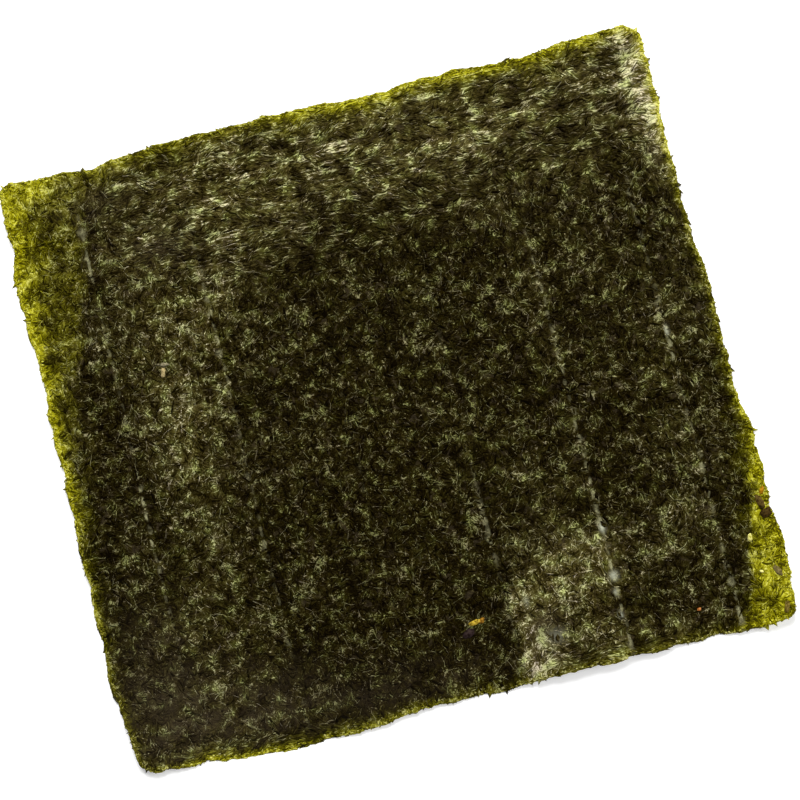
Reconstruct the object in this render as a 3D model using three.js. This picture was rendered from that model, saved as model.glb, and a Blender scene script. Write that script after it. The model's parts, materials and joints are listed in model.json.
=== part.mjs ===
// One dried sheet of pressed seaweed for rolling rice, lying loose: a thin wavy leaf with a ragged edge
// and six lines of pressed dashes, along which it folds or tears into strips.
// Millimetres, +Z up. +X runs along the long side and +Y towards the upper long side.
// The origin is under the middle of the sheet, on the surface that it lies on.

import * as THREE from "three";

// The sheet, from corner to corner.
const LENGTH = 210;
const WIDTH = 190;
const THICKNESS = 0.3;
const EDGE_THICKNESS = 0.18;
const CORNER_RADIUS = 3;

// How far each side stands outside the straight line between its corners, as pairs of the distance
// from the lower or left corner and that. It fades out into the sheet: the pressed lines are straight.
const SIDES = {
  left: [
    [0, 0], [9, 0.4], [17, 0.9], [30, 2.6], [46, 2.4], [60, 2], [80, 1.9], [100, 2.4], [118, 2.7],
    [131, 2], [144, 3.6], [158, 3.5], [171, 2.1], [182, 2.5], [190, 1.2],
  ],
  right: [
    [0, 0.2], [8, 0.5], [18, 1.8], [26, 1.2], [32, 0.2], [42, 1.2], [55, 1.1], [84, -0.6],
    [103, 0], [123, -1.7], [150, -2], [172, -1.3], [190, -1.9],
  ],
  top: [
    [0, 0.4], [98, 1.7], [110, 1.3], [120, 0.6], [132, 1], [150, 1.5], [166, 0.5], [180, 1.4], [204, 1.5],
    [210, 0.4],
  ],
  bottom: [
    [0, -0.6], [6, 1], [16, 2.5], [30, 3.1], [44, 4.2], [72, 3.8], [96, 1.8], [125, 1.5], [177, 0.9],
    [196, 1.5], [210, 0.6],
  ],
};
const SIDE_REACH = 19;

// The ragged edge: slow wandering, small tears, and tufts that stick out or are missing.
const RAGS = [
  { step: 14, reach: 0.3 },
  { step: 5, reach: 0.4 },
  { step: 2.4, reach: 0.45 },
];
const TUFT = { step: 7, share: 0.22, reach: 1.1 };
const DEEPEST_TEAR = 1.3;
const EDGE_SEED = 19;

// The pressed lines, counted from the left side. A dash is a shallow dent in the upper face.
const LINE_COUNT = 6;
const FIRST_LINE = 20.8;
const LINE_PITCH = 34.5;
const DASH_PITCH = 4.5;
const DASH_WIDTH = 1.2;
const DASH_DEPTH = 0.18;

// Long low waves through the whole sheet: crest to crest, height, direction in degrees, and phase.
const WAVES = [
  { length: 74, height: 1.2, turn: 8, phase: 63 },
  { length: 58, height: 0.7, turn: 96, phase: 23 },
  { length: 118, height: 1.2, turn: 52, phase: 223 },
  { length: 31, height: 0.22, turn: -24, phase: 126 },
];

// Places that stand up by themselves. x and y count from the lower left corner of the sheet.
const SWELLS = [
  { place: "crest beside the first line", x: 31, y: 100, reachX: 13, reachY: 34, height: 1.6 },
  { place: "swell by the lower side", x: 137, y: 16, reachX: 16, reachY: 27, height: 3.2 },
  { place: "lifted stretch of lower side", x: 166, y: -4, reachX: 34, reachY: 13, height: 1.8 },
  { place: "lower right corner", x: 214, y: -3, reachX: 25, reachY: 27, height: 5.6 },
  { place: "lower left corner", x: -4, y: -6, reachX: 26, reachY: 22, height: 2.4 },
  { place: "upper left corner", x: -5, y: 196, reachX: 30, reachY: 34, height: 5.2 },
  { place: "roll behind the right side", x: 200, y: 164, reachX: 7.5, reachY: 40, height: 3.6 },
  { place: "ripple under the upper side", x: 118, y: 158, reachX: 62, reachY: 8, height: 1.2 },
  { place: "dip across the middle", x: 104, y: 76, reachX: 30, reachY: 40, height: -1.6 },
];

// The waves swing about this height. What would lie below the surface is flat on it, and the leaf
// leaves it in a curve of the second height.
const MEAN_HEIGHT = 0.9;
const SETTLE = 1.2;

// How the faces are split: columns of points along Y, close at the pressed lines and wide between,
// inside a margin that joins them to the points of the ragged edge.
const MARGIN = 3.6;
const MARGIN_STEP = 3.4;
const EDGE_STEP = 1.7;
const BAY_STEP_X = 6.8;
const BAY_STEP_Y = 6.8;

const SHEET_COLOUR = 0x29240f;
const SHEET_ROUGHNESS = 0.6;

const { clamp, degToRad, euclideanModulo, lerp, seededRandom, smoothstep } = THREE.MathUtils;

// Height of the underside over a point of the flat sheet.
function lift(x, y) {
  let height = MEAN_HEIGHT;
  for (const wave of WAVES) {
    const turn = degToRad(wave.turn);
    const crests = (x * Math.cos(turn) + y * Math.sin(turn)) / wave.length;
    height += wave.height * Math.sin(2 * Math.PI * crests + degToRad(wave.phase));
  }
  for (const swell of SWELLS) {
    const across = (x - swell.x) / swell.reachX;
    const along = (y - swell.y) / swell.reachY;
    height += swell.height * Math.exp(-across * across - along * along);
  }
  if (height <= 0) return 0;
  if (height < SETTLE) return (height * height) / (2 * SETTLE);
  return height - SETTLE / 2;
}

// A side's own value at a distance along it, in a smooth curve from pair to pair.
function sideAt(side, distance) {
  const next = side.findIndex(([at], i) => i > 0 && (distance < at || i === side.length - 1));
  const [[from, first], [to, last]] = [side[next - 1], side[next]];
  return lerp(first, last, smoothstep(distance, from, to));
}

// The place of a point of the straight-sided sheet, once its sides are uneven.
function uneven(x, y) {
  const near = (gap) => clamp(1 - gap / SIDE_REACH, 0, 1);
  const outX = near(LENGTH - x) * sideAt(SIDES.right, y) - near(x) * sideAt(SIDES.left, y);
  const outY = near(WIDTH - y) * sideAt(SIDES.top, x) - near(y) * sideAt(SIDES.bottom, x);
  return new THREE.Vector2(x + outX, y + outY);
}

// Both faces share this list of points, so that they are split alike.
const points = [];

function addPoint(x, y, thickness, ragged = new THREE.Vector2()) {
  const place = uneven(x, y).add(ragged);
  points.push({ x, y, place, low: lift(x, y), thickness });
  return points.length - 1;
}

// A smooth closed course through evenly spaced values. turn runs from 0 to 1 round the sheet.
function course(values) {
  return (turn) => {
    const at = turn * values.length;
    const before = Math.floor(at) % values.length;
    const after = (before + 1) % values.length;
    return lerp(values[before], values[after], smoothstep(at - Math.floor(at), 0, 1));
  };
}

// How far the ragged edge stands outside the smooth one, as a function of turn.
function raggedEdge(girth) {
  seededRandom(EDGE_SEED);
  const swing = (reach) => reach * (2 * seededRandom() - 1);
  const values = (step, value) => Array.from({ length: Math.round(girth / step) }, value);
  const rags = RAGS.map(({ step, reach }) => course(values(step, () => swing(reach))));
  const tufts = course(
    values(TUFT.step, () => (seededRandom() < TUFT.share ? swing(TUFT.reach) : 0)),
  );
  return (turn) => Math.max(rags.reduce((sum, rag) => sum + rag(turn), tufts(turn)), -DEEPEST_TEAR);
}

// The ragged outline, anticlockwise from the lower left corner.
function makeOutline() {
  const r = CORNER_RADIUS;
  const quarter = Math.PI / 2;
  const path = new THREE.Path()
    .absarc(r, r, r, 2.5 * quarter, 3 * quarter)
    .absarc(LENGTH - r, r, r, 3 * quarter, 4 * quarter)
    .absarc(LENGTH - r, WIDTH - r, r, 0, quarter)
    .absarc(r, WIDTH - r, r, quarter, 2 * quarter)
    .absarc(r, r, r, 2 * quarter, 2.5 * quarter);
  const girth = path.getLength();
  const count = Math.round(girth / EDGE_STEP);
  const smooth = path.getSpacedPoints(count).slice(0, count);
  const ragged = raggedEdge(girth);
  return smooth.map((point, i) => {
    const along = smooth[(i + 1) % count].clone().sub(smooth.at(i - 1)).normalize();
    const outward = new THREE.Vector2(along.y, -along.x).multiplyScalar(ragged(i / count));
    return addPoint(point.x, point.y, EDGE_THICKNESS, outward);
  });
}

// Where the columns stand, left to right, and how close the points of each are.
function planColumns() {
  const half = DASH_WIDTH / 2;
  const fine = DASH_PITCH / 2;
  const plan = [{ x: MARGIN, step: MARGIN_STEP }];
  const crossBay = (right) => {
    const left = plan.at(-1).x;
    const gaps = Math.ceil((right - left) / BAY_STEP_X);
    for (let gap = 1; gap < gaps; gap += 1) {
      plan.push({ x: lerp(left, right, gap / gaps), step: BAY_STEP_Y });
    }
  };
  for (let line = 0; line < LINE_COUNT; line += 1) {
    const x = FIRST_LINE + LINE_PITCH * line;
    crossBay(x - half);
    plan.push({ x: x - half, step: fine }, { x, step: fine, dashed: true }, { x: x + half, step: fine });
  }
  crossBay(LENGTH - MARGIN);
  plan.push({ x: LENGTH - MARGIN, step: MARGIN_STEP });
  return plan;
}

function makeColumn({ x, step, dashed }) {
  const gaps = 2 * Math.round((WIDTH - 2 * MARGIN) / step / 2);
  return Array.from({ length: gaps + 1 }, (_, row) => {
    const dent = dashed && row % 2 ? DASH_DEPTH : 0;
    return addPoint(x, lerp(MARGIN, WIDTH - MARGIN, row / gaps), THICKNESS - dent);
  });
}

// A run is a list of points in order, each with how far along the run it is.
const columnRun = (column) => column.map((index) => ({ index, at: points[index].y }));

function closedRun(loop) {
  const angle = (index) =>
    Math.atan2(points[index].y / WIDTH - 0.5, points[index].x / LENGTH - 0.5);
  const from = angle(loop[0]);
  const run = loop.map((index) => ({ index, at: euclideanModulo(angle(index) - from, 2 * Math.PI) }));
  return [...run, { index: loop[0], at: 2 * Math.PI }];
}

// Triangles between two neighbouring runs: the run that is behind takes the next step. They face up
// if the first run is on the left of the second.
function zip(first, second) {
  const triangles = [];
  let f = 0;
  let s = 0;
  while (f < first.length - 1 || s < second.length - 1) {
    const firstNext = first[f + 1]?.at ?? Infinity;
    const secondNext = second[s + 1]?.at ?? Infinity;
    if (firstNext < secondNext) {
      triangles.push([first[f].index, second[s].index, first[f + 1].index]);
      f += 1;
    } else {
      triangles.push([first[f].index, second[s].index, second[s + 1].index]);
      s += 1;
    }
  }
  return triangles;
}

// The upper face, as triangles of points, and the outline that it ends at.
function makeFace() {
  const columns = planColumns().map(makeColumn);
  const outline = makeOutline();
  const rim = [
    ...columns.map((column) => column[0]),
    ...columns.at(-1).slice(1, -1),
    ...columns.map((column) => column.at(-1)).reverse(),
    ...columns[0].slice(1, -1).reverse(),
  ];
  const triangles = zip(closedRun(rim), closedRun(outline));
  for (let i = 1; i < columns.length; i += 1) {
    triangles.push(...zip(columnRun(columns[i - 1]), columnRun(columns[i])));
  }
  return { triangles, outline };
}

// The leaf: the upper face, the same face turned over for the underside, and the cut edge between.
function makeSheetGeometry() {
  const { triangles, outline } = makeFace();
  const upper = points.flatMap(({ place, low, thickness }) => [place.x, place.y, low + thickness]);
  const under = points.flatMap(({ place, low }) => [place.x, place.y, low]);
  const below = (index) => index + points.length;
  const faces = triangles.flatMap(([a, b, c]) => [a, b, c, below(a), below(c), below(b)]);
  outline.forEach((from, i) => {
    const to = outline[(i + 1) % outline.length];
    faces.push(below(from), below(to), to, below(from), to, from);
  });
  const geometry = new THREE.BufferGeometry();
  geometry.setAttribute("position", new THREE.Float32BufferAttribute([...upper, ...under], 3));
  geometry.setIndex(faces);
  geometry.computeBoundingBox();
  const middle = geometry.boundingBox.getCenter(new THREE.Vector3());
  geometry.translate(-middle.x, -middle.y, -geometry.boundingBox.min.z);
  geometry.computeVertexNormals();
  return geometry;
}

const sheet = new THREE.Mesh(
  makeSheetGeometry(),
  new THREE.MeshStandardMaterial({ color: SHEET_COLOUR, roughness: SHEET_ROUGHNESS, metalness: 0 }),
);
sheet.name = "nori_sheet";

const group = new THREE.Group();
group.add(sheet);

export default group;
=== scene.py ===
import json
import math
from functools import cached_property

import bmesh
import bpy
import numpy as np
from mathutils import Matrix, Vector, geometry
from mathutils.bvhtree import BVHTree
from mathutils.kdtree import KDTree

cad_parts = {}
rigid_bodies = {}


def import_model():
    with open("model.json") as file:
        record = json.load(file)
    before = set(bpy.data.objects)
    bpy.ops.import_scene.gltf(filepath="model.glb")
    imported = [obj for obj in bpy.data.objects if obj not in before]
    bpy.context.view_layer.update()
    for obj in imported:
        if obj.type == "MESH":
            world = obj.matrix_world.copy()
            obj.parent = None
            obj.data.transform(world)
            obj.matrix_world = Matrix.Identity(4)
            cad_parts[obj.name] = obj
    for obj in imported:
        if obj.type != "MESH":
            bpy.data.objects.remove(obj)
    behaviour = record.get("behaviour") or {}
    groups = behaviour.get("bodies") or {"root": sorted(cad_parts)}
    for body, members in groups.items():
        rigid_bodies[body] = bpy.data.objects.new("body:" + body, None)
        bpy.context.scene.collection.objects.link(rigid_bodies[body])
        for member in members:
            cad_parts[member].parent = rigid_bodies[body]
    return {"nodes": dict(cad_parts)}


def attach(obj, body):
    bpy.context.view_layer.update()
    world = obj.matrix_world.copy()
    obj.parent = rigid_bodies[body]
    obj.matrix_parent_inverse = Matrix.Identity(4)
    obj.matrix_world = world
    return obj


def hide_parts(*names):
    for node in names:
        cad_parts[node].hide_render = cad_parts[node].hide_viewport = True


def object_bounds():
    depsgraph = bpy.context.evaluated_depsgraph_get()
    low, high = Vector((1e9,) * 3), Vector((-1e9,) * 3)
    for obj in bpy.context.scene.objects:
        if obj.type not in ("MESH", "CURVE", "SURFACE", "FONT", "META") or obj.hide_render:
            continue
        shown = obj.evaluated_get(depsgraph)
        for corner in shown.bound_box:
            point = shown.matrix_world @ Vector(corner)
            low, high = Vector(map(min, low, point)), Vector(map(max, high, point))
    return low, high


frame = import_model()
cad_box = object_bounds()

MM = 0.001

# The camera: a short telephoto nearly straight above the sheet, a little towards its lower side, and
# turned so that the sheet's long side climbs to the right across the picture.
LENS_MM = 85
SENSOR_MM = 36
NEAREST_SEEN = 10 * MM
CAMERA_PLACE = Vector((31.94, -52.22, 592.0)) * MM
CAMERA_LOOKS_AT = Vector((3.14, -0.22, 0.0)) * MM
CAMERA_TURN = math.radians(13.71)


def placed(name, data):
    """A new object of the scene."""
    made = bpy.data.objects.new(name, data)
    bpy.context.scene.collection.objects.link(made)
    return made


camera = placed("camera", bpy.data.cameras.new("camera"))
camera.data.lens = LENS_MM
camera.data.sensor_width = SENSOR_MM
camera.data.clip_start = NEAREST_SEEN
backwards = (CAMERA_PLACE - CAMERA_LOOKS_AT).normalized()
sideways = Vector((math.sin(CAMERA_TURN), math.cos(CAMERA_TURN), 0)).cross(backwards).normalized()
axes = Matrix((sideways, backwards.cross(sideways), backwards)).transposed()
camera.matrix_world = Matrix.Translation(CAMERA_PLACE) @ axes.to_4x4()
bpy.context.scene.camera = camera

# The leaf: chopped laver poured out thin on a mat, drained, dried and toasted, so that it is a felt of
# shreds with a ragged poured edge. It keeps the solid's outline and waves and gets a finer surface.
LEAF_THICKNESS = 0.3 * MM
RIM_THICKNESS = 0.18 * MM
RIM_REACH = 3.0 * MM
LEAST_THICKNESS = 0.1 * MM
OUTLINE_STEP = 0.45 * MM
OUTLINE_FRAY = 0.17 * MM
# The mesh of each face: the sides of its triangles, and how far they are out of place, as a share.
UPPER_PITCH = 0.95 * MM
UNDER_PITCH = 1.8 * MM
JITTER = 0.27
# The raster on which the waves are read, how much they are smoothed, and how far it passes the sheet.
WAVE_RASTER = 1.0 * MM
WAVE_BLUR = 2.6 * MM
MARGIN = 4 * MM
# The pressed dashes, the rows and columns of points that shape them, and how far other points keep off.
DASH_WIDTH = 1.2 * MM
DASH_LENGTH = 3.4 * MM
DASH_DEPTH = 0.17 * MM
DASH_COLUMNS = np.array([-0.75, -0.42, -0.14, 0.14, 0.42, 0.75]) * MM
DASH_ROW = 0.6 * MM
DASH_CLEARANCE = 1.05 * MM
# On the solid: how thin it is at most in the middle of a dash, and the least gap between two lines.
DASH_THINNEST = 0.15 * MM
LINES_APART = 10 * MM

# Relief of both faces, and of the upper one alone: the spacing of its knots along X and Y, and height,
# in millimetres. Each row of the mat: its Y, and how far it reaches in from the left side.
COCKLES = [((15, 12), 0.14), ((6.5, 5.0), 0.09)]
LUMPS = [((2.4, 2.0), 0.06), ((1.5, 1.2), 0.05)]
COMBED_STREAKS = [((16, 1.7), 0.09), ((9, 1.3), 0.06)]
MAT_ROWS = [(77, 14), (53, 12), (23, 10), (-12, 8)]
MAT_ROW_HEIGHT = 0.07 * MM
MAT_ROW_WIDTH = 0.9 * MM

solid = bmesh.new()
solid.from_mesh(frame["nodes"]["nori_sheet"].data)
bmesh.ops.remove_doubles(solid, verts=solid.verts, dist=1e-6)
solid.normal_update()
solid_tree = BVHTree.FromBMesh(solid)


def cast(x, y):
    """The height of the solid's underside over a place in the plane, or None beside the solid."""
    hit = solid_tree.ray_cast(Vector((x, y, -1)), Vector((0, 0, 1)))[0]
    return None if hit is None else hit.z


def outline_of(mesh):
    """The solid's ragged upper rim, anticlockwise from above, as points in the plane."""
    def is_wall(face):
        return abs(face.normal.z) < 0.5

    after = {}
    for face in filter(is_wall, mesh.faces):
        for loop in face.loops:
            other = loop.link_loop_radial_next.face
            if not is_wall(other) and other.normal.z > 0:
                after[loop.link_loop_next.vert] = loop.vert
    first = vert = next(iter(after))
    rim = []
    while not rim or vert is not first:
        rim.append(vert.co.xy)
        vert = after[vert]
    return np.array(rim)


def felt(xy, size_x, size_y, seed):
    """Smooth random relief from -1 to 1, with knots size_x by size_y millimetres apart."""
    knots = np.random.default_rng(seed).uniform(-1, 1, (256, 256))
    place = xy / (size_x * MM, size_y * MM) + 1000.0 + seed * 0.37
    low = np.floor(place).astype(int)
    part = place - low
    part = part * part * (3 - 2 * part)
    (x0, y0), (x1, y1) = (low % 256).T, ((low + 1) % 256).T
    west = knots[x0, y0] + (knots[x0, y1] - knots[x0, y0]) * part[:, 1]
    east = knots[x1, y0] + (knots[x1, y1] - knots[x1, y0]) * part[:, 1]
    return west + (east - west) * part[:, 0]


def by(table, at):
    """Reads a table of (place, value), in millimetres, at places in metres."""
    return np.interp(at / MM, *zip(*table))


def rise(low, high, value):
    """0 at low, 1 at high, smooth between and level outside. low may be the larger one."""
    part = np.clip((value - low) / (high - low), 0, 1)
    return part * part * (3 - 2 * part)


# The solid's waves, read on a raster and smoothed over its facets.
corner = np.array(cad_box[0].xy) - MARGIN
counts = np.ceil((np.array(cad_box[1].xy) + MARGIN - corner) / WAVE_RASTER).astype(int) + 1
raster = np.array([
    [cast(corner[0] + i * WAVE_RASTER, corner[1] + j * WAVE_RASTER) for j in range(counts[1])]
    for i in range(counts[0])
], dtype=float)
while np.isnan(raster).any():
    padded = np.pad(raster, 1, constant_values=np.nan)
    around = np.stack([padded[2:, 1:-1], padded[:-2, 1:-1], padded[1:-1, 2:], padded[1:-1, :-2]])
    known = ~np.isnan(around)
    mean = np.where(known, around, 0).sum(0) / np.maximum(known.sum(0), 1)
    raster = np.where(np.isnan(raster) & known.any(0), mean, raster)
reach = int(3 * WAVE_BLUR / WAVE_RASTER)
bell = np.exp(-0.5 * (np.arange(-reach, reach + 1) * WAVE_RASTER / WAVE_BLUR) ** 2)
bell /= bell.sum()
for axis in (0, 1):
    wide = np.pad(raster, [(reach, reach) if a == axis else (0, 0) for a in (0, 1)], mode="edge")
    raster = np.apply_along_axis(np.convolve, axis, wide, bell, mode="valid")


def waves(xy):
    """The height of the smoothed underside."""
    place = np.clip((xy - corner) / WAVE_RASTER, 0, counts - 1.001)
    i, j = np.floor(place).astype(int).T
    s, t = (place - np.floor(place)).T
    low = raster[i, j] * (1 - s) + raster[i + 1, j] * s
    high = raster[i, j + 1] * (1 - s) + raster[i + 1, j + 1] * s
    return low * (1 - t) + high * t


# The dashes: the solid is thinnest in the middle of each. They stand in lines along Y.
dents = np.array([
    v.co[:] for v in solid.verts
    if v.normal.z > 0.5 and v.co.z - (cast(v.co.x, v.co.y) or -1) < DASH_THINNEST
])
dents = dents[np.argsort(dents[:, 0])]
line_ends = np.flatnonzero(np.diff(dents[:, 0]) > LINES_APART) + 1
lines = [line[np.argsort(line[:, 1])] for line in np.split(dents, line_ends)]


def from_lines(xy):
    """How far a point is from the nearest pressed line, along X, and which line that is."""
    away = np.stack([xy[:, 0] - np.interp(xy[:, 1], line[:, 1], line[:, 0]) for line in lines])
    nearest = np.abs(away).argmin(0)
    return away[nearest, np.arange(len(xy))], nearest


def jittered(pitch, seed):
    """Points of a triangular grid with side pitch, each a little out of place."""
    low, high = corner, np.array(cad_box[1].xy) + MARGIN
    row_gap = pitch * math.sqrt(0.75)
    x, y = np.meshgrid(np.arange(low[0], high[0], pitch), np.arange(low[1], high[1], row_gap))
    x[1::2] += pitch / 2
    grid = np.stack([x.ravel(), y.ravel()], 1)
    return grid + np.random.default_rng(seed).uniform(-JITTER, JITTER, grid.shape) * pitch


def kept_inside(points, gap):
    """The points that lie on the solid, and more than gap from the outline."""
    return np.array([p for p in points if cast(*p) is not None and rim_tree.find((*p, 0))[2] > gap])


rim = outline_of(solid)
closed = np.vstack([rim, rim[:1]])
steps = np.linalg.norm(np.diff(closed, axis=0), axis=1)
along = np.concatenate([[0], np.cumsum(steps)])
stations = np.linspace(0, along[-1], int(along[-1] / OUTLINE_STEP), endpoint=False)
outline = np.stack([np.interp(stations, along, closed[:, a]) for a in (0, 1)], 1)
outline += OUTLINE_FRAY * np.stack([felt(outline, 0.9, 0.9, seed) for seed in (5, 6)], 1)
rim_tree = KDTree(len(outline))
for number, place in enumerate(outline):
    rim_tree.insert((*place, 0), number)
rim_tree.balance()


def split(inner):
    """The outline filled with triangles whose corners are the given points, anticlockwise."""
    points = [Vector(p) for p in np.vstack([outline, inner])]
    made = geometry.delaunay_2d_cdt(points, [], [range(len(outline))], 1, 1e-8)
    return np.array(made[0]), np.array(made[2])


upper_inner = kept_inside(jittered(UPPER_PITCH, 1), 0.5 * UPPER_PITCH)
upper_inner = upper_inner[np.abs(from_lines(upper_inner)[0]) > DASH_CLEARANCE]
rows = np.arange(lines[0][0, 1] - 2 * MM, lines[0][-1, 1] + 2 * MM, DASH_ROW)
dash_points = np.vstack([
    np.stack([np.interp(rows, line[:, 1], line[:, 0]) + column, rows], 1)
    for line in lines for column in DASH_COLUMNS
])
upper_xy, upper_faces = split(np.vstack([upper_inner, kept_inside(dash_points, 0.3 * MM)]))
under_xy, under_faces = split(kept_inside(jittered(UNDER_PITCH, 2), 0.5 * UNDER_PITCH))


def from_rim(xy):
    """How far each point of a face is from the outline, whose own points come first."""
    gap = np.array([rim_tree.find((*p, 0))[2] for p in xy])
    gap[:len(outline)] = 0
    return gap


def relief(xy, table, seed):
    """The sum of a table of reliefs, each with the size of its knots and its height."""
    return sum(
        height * MM * felt(xy, *size, seed + number)
        for number, (size, height) in enumerate(table)
    )


def combed_at(xy):
    """1 where the shreds lie along X, as the pouring left them, and 0 where they lie anyhow.

    That is near the upper side, in the lower left and in a strip at the lower right, in millimetres.
    """
    x, y = xy.T / MM
    wander = 12 * felt(xy, 30, 30, 30)
    upper = rise(38, 62, y + wander) * rise(-98, -60, x)
    lower = rise(-50, -60, y + wander) * rise(-88, -94, y) * rise(-98, -90, x) * rise(-20, -45, x)
    right = rise(-86, -91, y + wander / 4) * rise(8, 40, x) * rise(80, 64, x)
    return np.clip(0.85 * upper + 0.9 * lower + right, 0, 1)


# How strongly the dashes of a line show, by place along Y: each line's list of (y, strength).
DASH_STRENGTHS = [
    [(-94, 0.1), (-60, 0.2), (-46, 0.5), (-30, 0.5), (-20, 0.95), (-10, 0.95), (-4, 0.5), (2, 0.2),
     (50, 0.25), (56, 0.6), (60, 0.3), (66, 0.7), (74, 0.7), (80, 0.2), (96, 0)],
    [(-94, 0.1), (-40, 0.25), (-30, 0.4), (-24, 0.2), (0, 0.15), (16, 0.4), (20, 0.8), (34, 0.9),
     (42, 0.8), (48, 0.3), (56, 0.4), (64, 0.2), (96, 0)],
    [(-94, 0.05), (96, 0.05)],
    [(-94, 0.05), (-64, 0.2), (-57, 0.4), (-50, 0.45), (-42, 0.3), (-36, 0.15), (-10, 0.1), (0, 0.05),
     (96, 0)],
    [(-94, 0.5), (-76, 0.6), (-66, 1), (-60, 0.7), (-54, 1), (-46, 0.7), (-40, 0.85), (-32, 0.7),
     (-20, 0.55), (2, 0.4), (14, 0.4), (34, 0.3), (44, 0.15), (50, 0.05), (96, 0)],
    [(-94, 0.7), (-80, 0.8), (-74, 0.2), (-66, 0.5), (-54, 0.7), (-50, 0.4), (-46, 0.7), (-34, 0.7),
     (-30, 0.3), (-16, 0.15), (-10, 0.3), (-8, 1), (2, 1), (5, 0.2), (36, 0.35), (46, 0.35), (52, 0.05),
     (96, 0)],
]
# The right-hand edge of a pressed line lies in shade in places: each line's list of (y, depth).
LINE_SHADES = [
    [(-94, 0.1), (-20, 0.3), (40, 0.2), (48, 0.6), (82, 0.6), (92, 0)],
    [(-94, 0.8), (-50, 0.8), (-30, 0.4), (10, 0.5), (30, 0.5), (50, 0)],
    [(-94, 0), (-60, 0.3), (-30, 0.1), (48, 0.3), (60, 0.7), (94, 0.7)],
    [(-94, 0), (-40, 0.4), (30, 0.4), (60, 0)],
    [(-94, 0.4), (-10, 0.5), (30, 0.3), (60, 0)],
    [(-94, 0.6), (-40, 0.6), (0, 0.3), (60, 0)],
]


def dashes_at(xy):
    """The pressed dashes: how deep a place lies in one, and how strongly that one shows."""
    away, nearest = from_lines(xy)
    y = xy[:, 1]
    middles = np.stack([np.interp(y, line[:, 1], np.arange(len(line))) for line in lines])
    at = middles[nearest, np.arange(len(xy))]
    number = np.round(at)
    pitch = lines[0][1, 1] - lines[0][0, 1]
    uneven = np.random.default_rng(8).uniform(-1, 1, (len(lines), 64, 3))[nearest, number.astype(int)]
    wobble = 0.25 * MM * uneven[:, 0] + 0.3 * MM * felt(xy, 1.2, 1.2, 41)
    width = DASH_WIDTH * (1 + 0.35 * uneven[:, 1])
    length = DASH_LENGTH * (1 + 0.2 * uneven[:, 2])
    inside = ((away + wobble) / (width / 2)) ** 2 + ((at - number) * pitch / (length / 2)) ** 4
    deep = rise(1.25, 0.35, inside)
    strength = np.stack([by(table, y) for table in DASH_STRENGTHS])
    worn = 0.6 * felt(xy, 0.8, 1.1, 44) + 0.4 * felt(xy, 2.2, 2.6, 45)
    uneven_strength = 0.7 + 0.4 * uneven[:, 0] + 0.9 * worn
    return deep, np.clip(strength[nearest, np.arange(len(xy))] * uneven_strength, 0, 1)


def beside_lines(xy):
    """How strongly a pressed line shows close beside it, and how deep its shade on the right is."""
    away, nearest = from_lines(xy)
    away = away / MM
    own = np.arange(len(xy))
    strength, shade = (
        np.stack([by(line, xy[:, 1]) for line in table])[nearest, own]
        for table in (DASH_STRENGTHS, LINE_SHADES)
    )
    off_middle = away - 2.0 + 0.5 * felt(xy, 4, 4, 43)
    return strength * rise(2.0, 1.0, np.abs(away)), shade * np.exp(-((off_middle / 1.1) ** 2))


def cockle(xy, low):
    """Small waves that both faces share. They die out where the leaf lies on the surface."""
    return relief(xy, COCKLES, 10) * rise(0.05 * MM, 0.5 * MM, low)


def underside(xy):
    """The height of the leaf's underside."""
    low = waves(xy)
    return np.maximum(low + cockle(xy, low), 0)


def upper_relief(xy):
    """What the upper face has by itself: lumps, streaks, and the rows that the mat's strings left."""
    height = relief(xy, LUMPS, 20) + combed_at(xy) * relief(xy, COMBED_STREAKS, 24)
    from_side = xy[:, 0] - cad_box[0].x
    for y, reach in MAT_ROWS:
        row = np.exp(-(((xy[:, 1] - y * MM) / MAT_ROW_WIDTH) ** 2))
        row *= rise(reach * MM, 0.4 * reach * MM, from_side)
        height += MAT_ROW_HEIGHT * row
    return height


rim_gap = from_rim(upper_xy)
part_in = rise(0, RIM_REACH, rim_gap)
deep, strength = dashes_at(upper_xy)
upper_z = underside(upper_xy) + RIM_THICKNESS + (LEAF_THICKNESS - RIM_THICKNESS) * part_in
upper_z += upper_relief(upper_xy) * rise(0, 1.2 * MM, rim_gap) - DASH_DEPTH * deep * part_in
upper_z = np.maximum(upper_z, underside(upper_xy) + LEAST_THICKNESS)

# Both faces and the wall between them as one closed mesh. The wall's corners are the faces' own.
count = len(upper_xy)
vertices = np.column_stack([
    np.vstack([upper_xy, under_xy]),
    np.concatenate([upper_z, underside(under_xy)]),
])
rim_numbers = np.arange(len(outline))
rim_next = np.roll(rim_numbers, -1)
wall_faces = np.vstack([
    np.stack([count + rim_numbers, count + rim_next, rim_next], 1),
    np.stack([count + rim_numbers, rim_next, rim_numbers], 1),
])
faces = np.vstack([upper_faces, count + under_faces[:, ::-1], wall_faces])

leaf_mesh = bpy.data.meshes.new("leaf")
leaf_mesh.from_pydata(vertices.tolist(), [], faces.tolist())
leaf_mesh.validate()
leaf_mesh.shade_smooth()

# The map for the bake: the upper face over the underside, and the wall in a thin strip between them.
BAKE_MAP = "OFBake"
UPPER_MAP = (0.21, 0.79)
UNDER_MAP = (0.0, 0.19)
WALL_MAP = (0.196, 0.204)

low, high = vertices[:, :2].min(0), vertices[:, :2].max(0)
place = (vertices[:, :2] - low) / (high - low)
corners = faces.ravel()
maps = place[corners].copy()
face_kind = np.repeat([0, 1, 2], [len(upper_faces), len(under_faces), len(wall_faces)])
corner_kind = np.repeat(face_kind, 3)
maps[:, 1] = np.where(
    corner_kind == 0,
    UPPER_MAP[0] + UPPER_MAP[1] * maps[:, 1],
    UNDER_MAP[0] + UNDER_MAP[1] * maps[:, 1],
)
station = (corners % count) / len(outline)
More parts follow.
